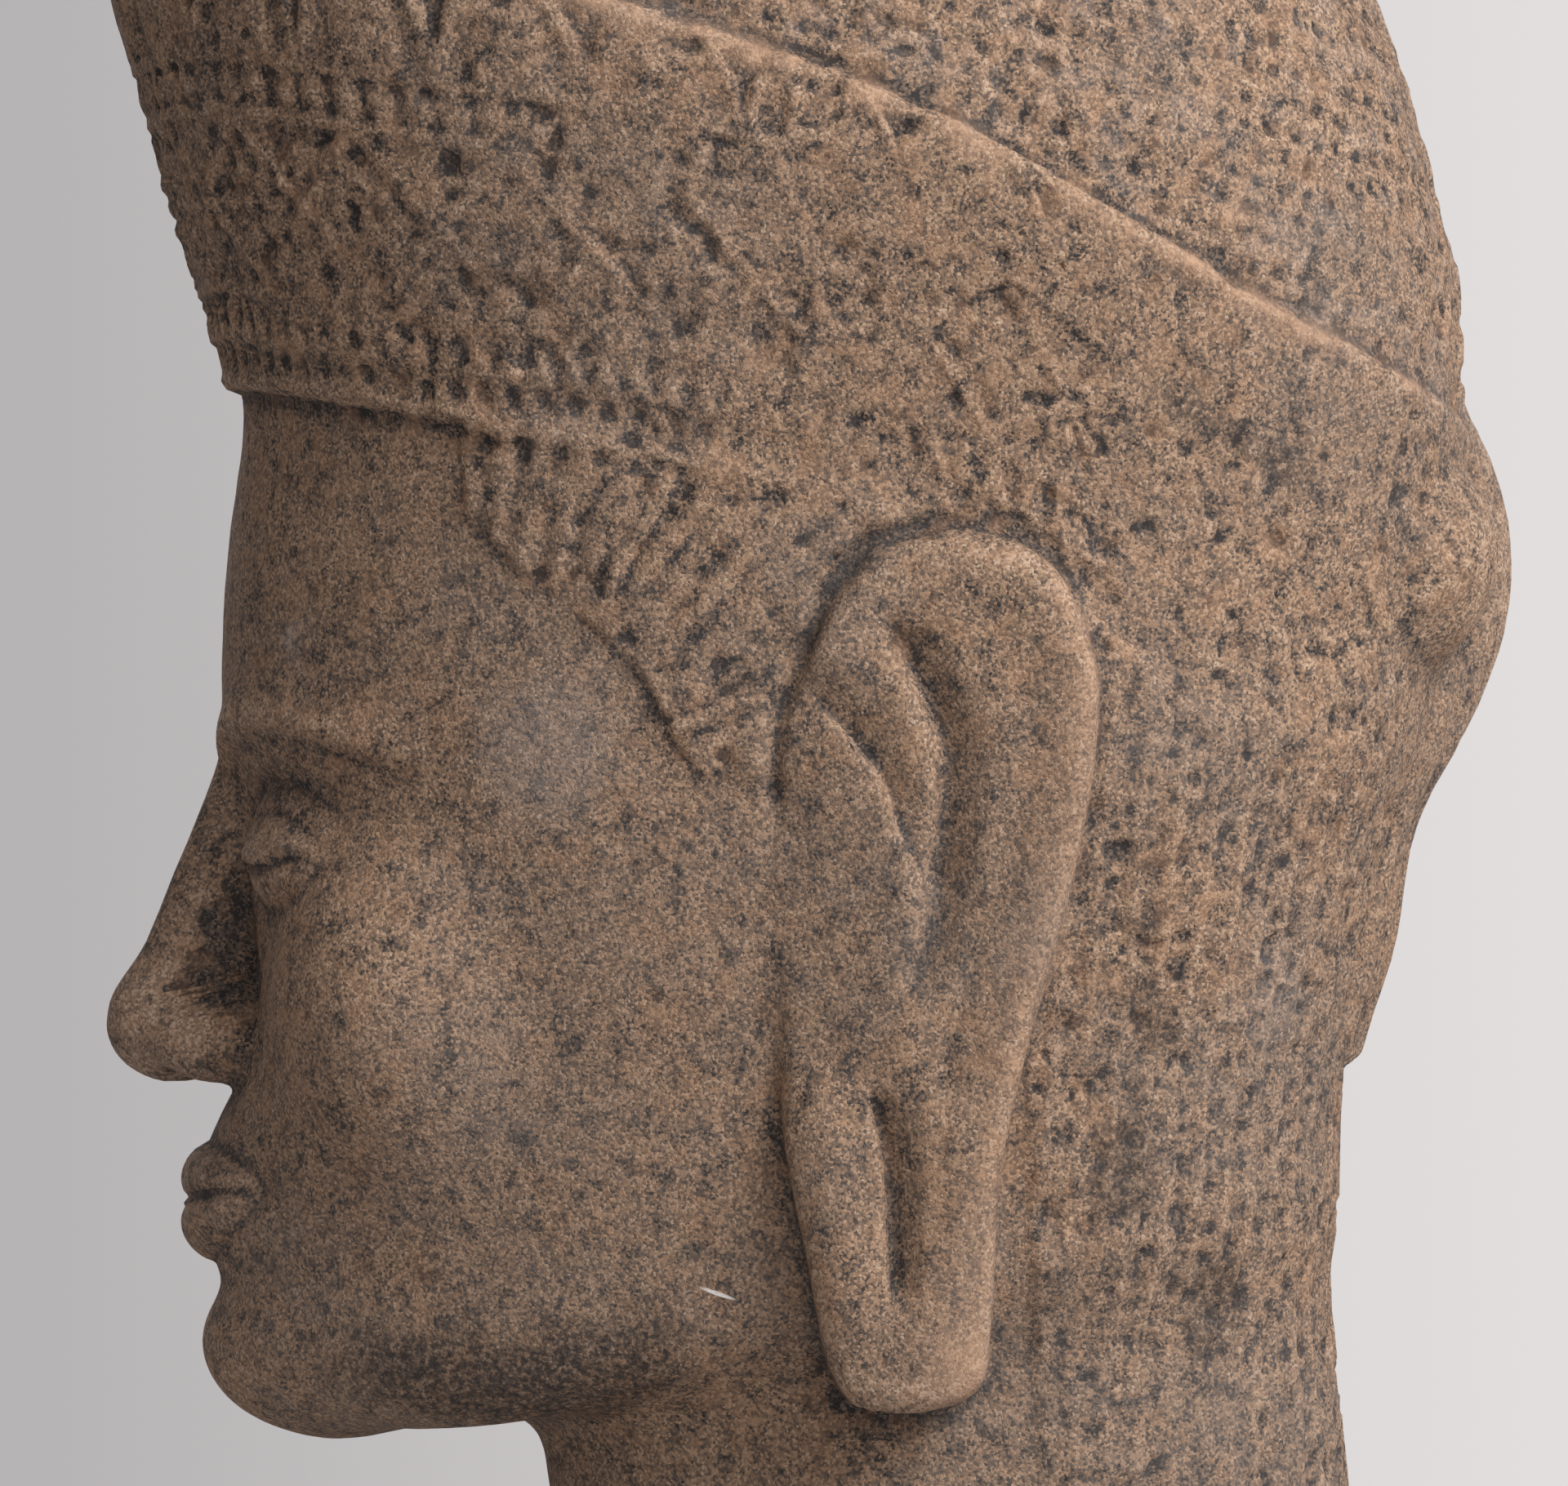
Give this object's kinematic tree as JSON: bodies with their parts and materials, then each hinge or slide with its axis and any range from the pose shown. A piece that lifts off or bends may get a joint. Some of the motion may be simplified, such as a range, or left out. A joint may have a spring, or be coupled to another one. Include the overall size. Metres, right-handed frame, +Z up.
{
  "type": "carved stone head",
  "caption": "Life-size sandstone head of a deity with closed lids, long pierced ears, a tall carved diadem knotted behind and a domed mass of locks, cut flat at the neck.",
  "frame": {"origin": "middle of the flat cut's level, under the middle of the head's bounding box", "axes": "+Z up along the neck, the face looks along -Y, +X is the head's own left side"},
  "size_m": [0.1884, 0.2573, 0.397],
  "materials": {
    "sandstone": "weathered brown sandstone, fine grained and matt, with grey and black stains"
  },
  "bodies": {
    "root": {"vishnu_head": "sandstone"}
  },
  "joints": []
}
